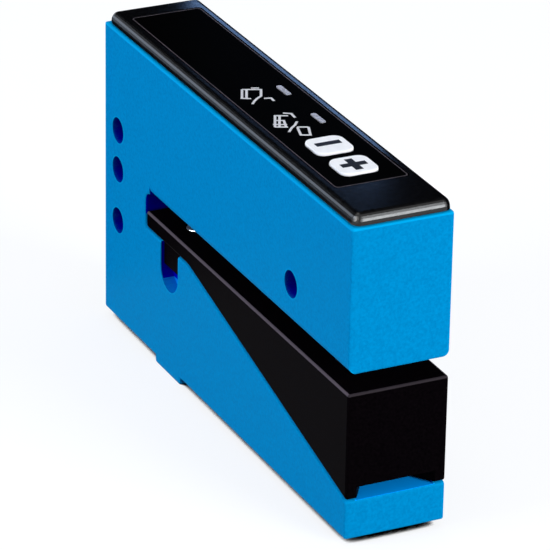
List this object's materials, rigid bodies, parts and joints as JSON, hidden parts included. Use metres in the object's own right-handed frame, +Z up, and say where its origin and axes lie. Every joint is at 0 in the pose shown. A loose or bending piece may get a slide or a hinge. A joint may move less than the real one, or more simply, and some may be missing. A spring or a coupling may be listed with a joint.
{
  "type": "fork sensor",
  "caption": "Fork-shaped label sensor: blue C-shaped metal housing, black control cover with minus and plus keys, black wedge-shaped lower arm and a rear plug inlet.",
  "frame": {"origin": "middle of the overall box, in the plane of the lug's underside", "axes": "+X from the rear face towards the fork's open mouth, +Y across the width, +Z up towards the control cover"},
  "size_m": [0.095, 0.016, 0.0521],
  "materials": {
    "blue_paint": "smooth satin enamel on cast metal",
    "black_plastic": "moulded, satin",
    "black_rubber": "matt",
    "label_film": "printed film, fine grain",
    "white_key": "moulded, satin",
    "clear_pipe": "clear, frosted face",
    "lamp_cream": "moulded",
    "chip_black": "moulded",
    "green_board": "solder resist on glass fibre",
    "tin_can": "drawn can",
    "plated_steel": "bright plated",
    "nickel_plate": "nickel plated brass, turned",
    "gold_contact": "gold plated",
    "amber_film": "flexible film",
    "wire_red": "insulated wire"
  },
  "bodies": {
    "sensor": {"housing": "blue_paint", "cover": "black_plastic", "cover_gasket": "black_rubber", "label_membrane": "label_film", "light_pipe_rear": "clear_pipe", "light_pipe_front": "clear_pipe", "lamp_rear": "lamp_cream", "lamp_front": "lamp_cream", "switch_minus": "chip_black", "switch_plus": "chip_black", "key_board": "green_board", "main_board": "green_board", "board_header": "chip_black", "controller_chip": "chip_black", "amplifier_chip": "chip_black", "smoothing_capacitor": "tin_can", "receiver": "tin_can", "receiver_seal": "black_rubber", "receiver_wire": "wire_red", "lower_arm": "black_plastic", "arm_screw_near": "plated_steel", "arm_screw_far": "plated_steel", "transmitter": "tin_can", "transmitter_seal": "black_rubber", "transmitter_wire": "wire_red", "lower_board": "green_board", "driver_chip": "chip_black", "flat_lead": "amber_film", "inlet_shell": "nickel_plate", "inlet_seal": "black_rubber", "contact_carrier": "black_plastic", "contact_1": "gold_contact", "contact_2": "gold_contact", "contact_3": "gold_contact", "contact_4": "gold_contact"},
    "minus_button": {"key_minus": "white_key"},
    "plus_button": {"key_plus": "white_key"}
  },
  "joints": [
    {"name": "key_minus_press", "type": "slide", "parent": "sensor", "child": "minus_button", "axis": [0, 0, -1], "range_m": [0, 0.0003], "stiffness_N_per_m": 3000},
    {"name": "key_plus_press", "type": "slide", "parent": "sensor", "child": "plus_button", "axis": [0, 0, -1], "range_m": [0, 0.0003], "stiffness_N_per_m": 3000}
  ]
}
